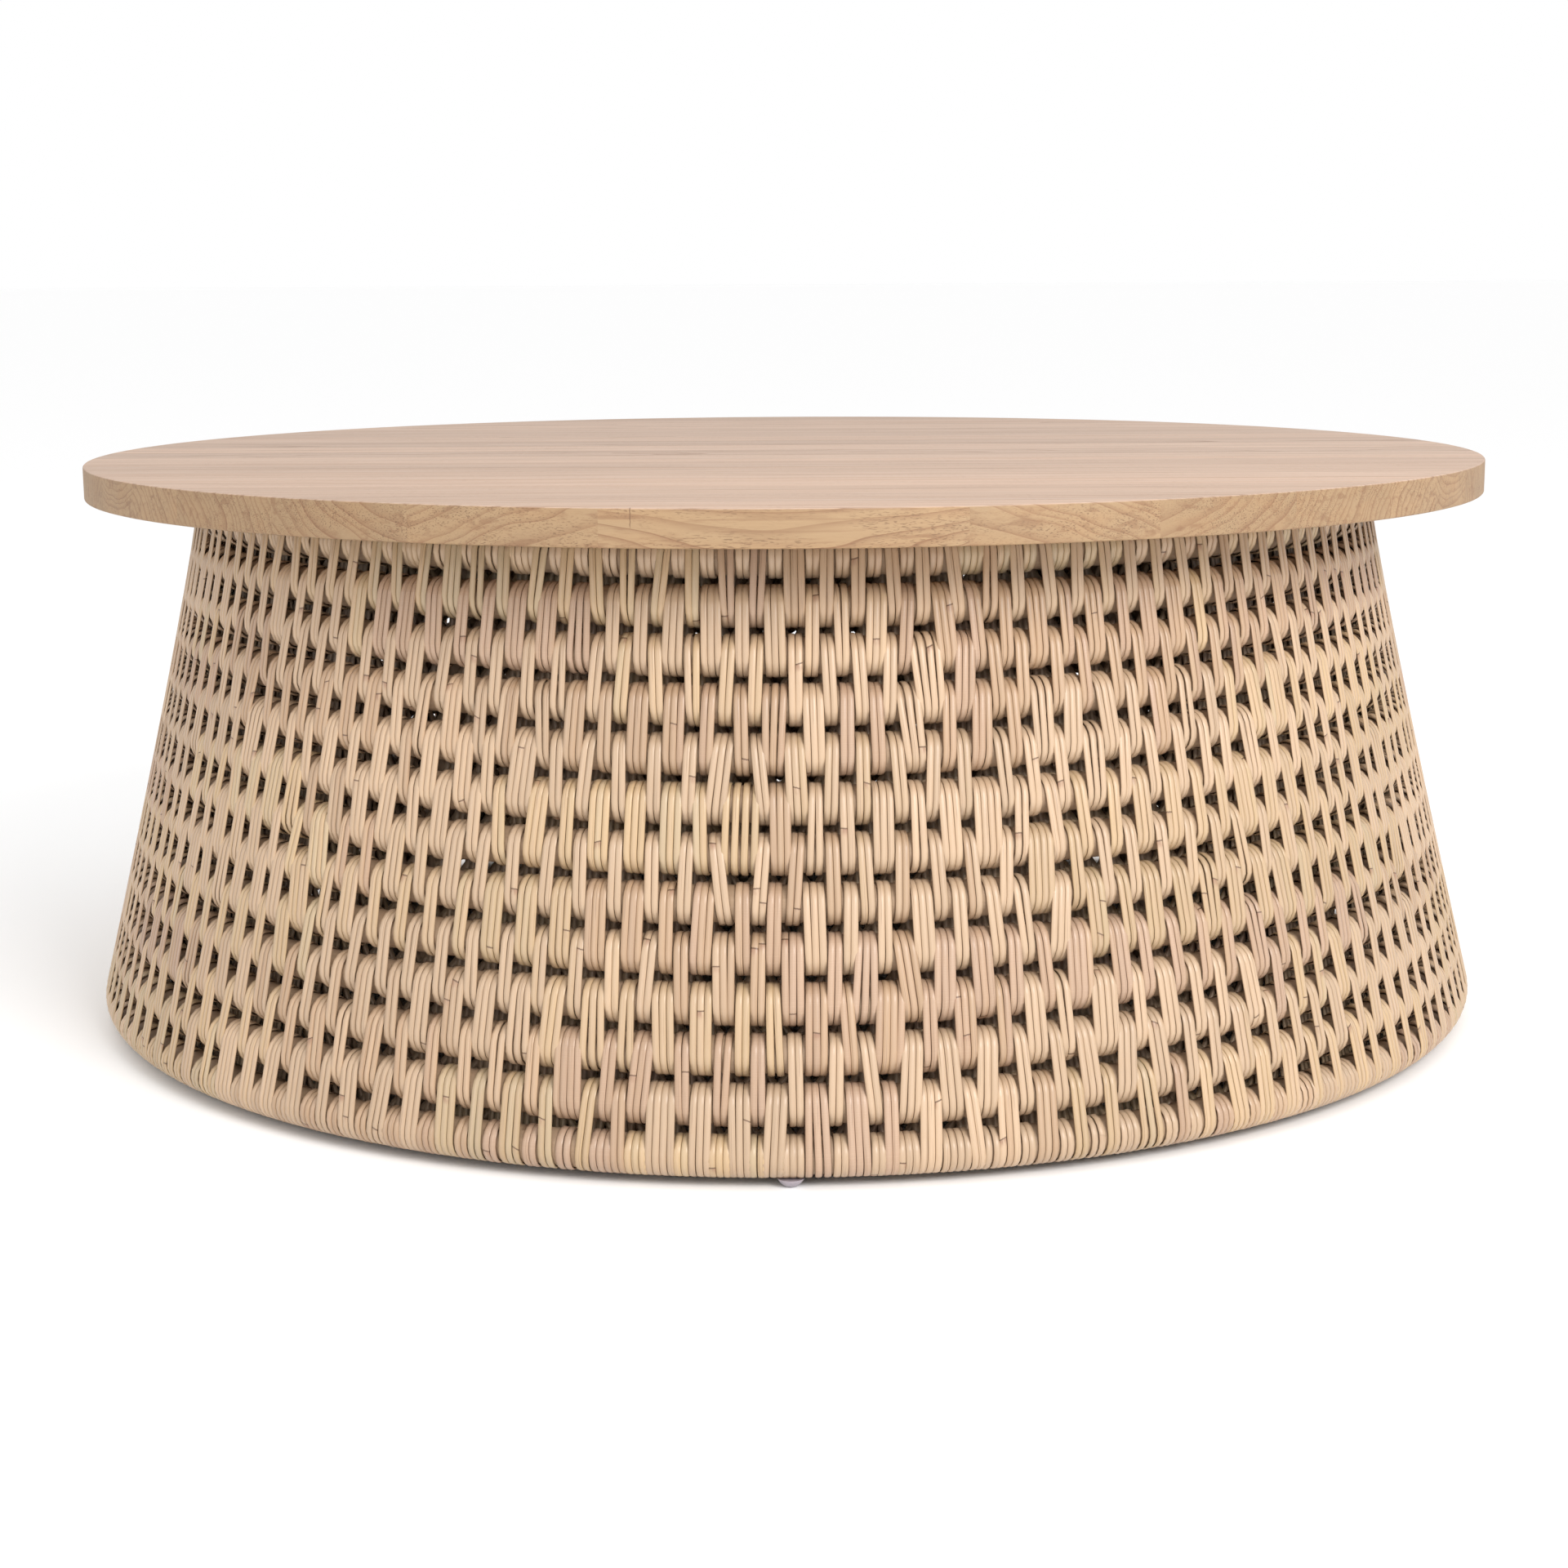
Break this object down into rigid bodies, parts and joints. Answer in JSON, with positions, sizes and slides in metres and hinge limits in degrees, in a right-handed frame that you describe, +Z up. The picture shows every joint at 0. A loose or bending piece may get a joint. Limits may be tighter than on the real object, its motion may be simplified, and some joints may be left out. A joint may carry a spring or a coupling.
{
  "type": "coffee table",
  "caption": "Round low coffee table: a solid stave wood top on a flared drum base of stacked rattan hoops laced together with cane, standing on small domed glides.",
  "frame": {"origin": "on the floor, straight under the middle of the round top", "axes": "+Z up through the middle of the top; the top's boards run along X; the front is -Y"},
  "size_m": [1.107, 1.107, 0.436],
  "materials": {
    "top_wood": "pale straight-grained hardwood, sanded, thin matt oil",
    "rattan_pole": "peeled rattan pole, natural, unvarnished",
    "cane": "natural cane skin, satin, with fine lengthwise lines and dark nodes",
    "plywood": "plain birch-type plywood, unfinished",
    "glide_plastic": "grey-lilac moulded plastic, slightly glossy dome",
    "zinc_steel": "bright zinc-plated wire and screws"
  },
  "bodies": {
    "root": {"top_board_01": "top_wood", "top_board_02": "top_wood", "top_board_03": "top_wood", "top_board_04": "top_wood", "top_board_05": "top_wood", "top_board_06": "top_wood", "top_board_07": "top_wood", "top_board_08": "top_wood", "top_board_09": "top_wood", "top_board_10": "top_wood", "top_board_11": "top_wood", "top_board_12": "top_wood", "top_board_13": "top_wood", "top_board_14": "top_wood", "top_board_15": "top_wood", "top_board_16": "top_wood", "top_board_17": "top_wood", "top_board_18": "top_wood", "hoop_01": "rattan_pole", "hoop_02": "rattan_pole", "hoop_03": "rattan_pole", "hoop_04": "rattan_pole", "hoop_05": "rattan_pole", "hoop_06": "rattan_pole", "hoop_07": "rattan_pole", "hoop_08": "rattan_pole", "hoop_09": "rattan_pole", "hoop_10": "rattan_pole", "hoop_11": "rattan_pole", "hoop_12": "rattan_pole", "hoop_13": "rattan_pole", "lacing_01": "cane", "lacing_02": "cane", "lacing_03": "cane", "lacing_04": "cane", "lacing_05": "cane", "lacing_06": "cane", "lacing_07": "cane", "lacing_08": "cane", "lacing_09": "cane", "lacing_10": "cane", "lacing_11": "cane", "lacing_12": "cane", "top_rim_wrap": "cane", "bottom_rim_wrap": "cane", "rib_01": "rattan_pole", "rib_02": "rattan_pole", "rib_03": "rattan_pole", "rib_04": "rattan_pole", "rib_05": "rattan_pole", "rib_06": "rattan_pole", "top_ring": "plywood", "batten_left": "plywood", "batten_right": "plywood", "glide_front": "glide_plastic", "glide_right": "glide_plastic", "glide_back": "glide_plastic", "glide_left": "glide_plastic", "wood_screws": "zinc_steel", "frame_nails": "zinc_steel"}
  },
  "joints": []
}
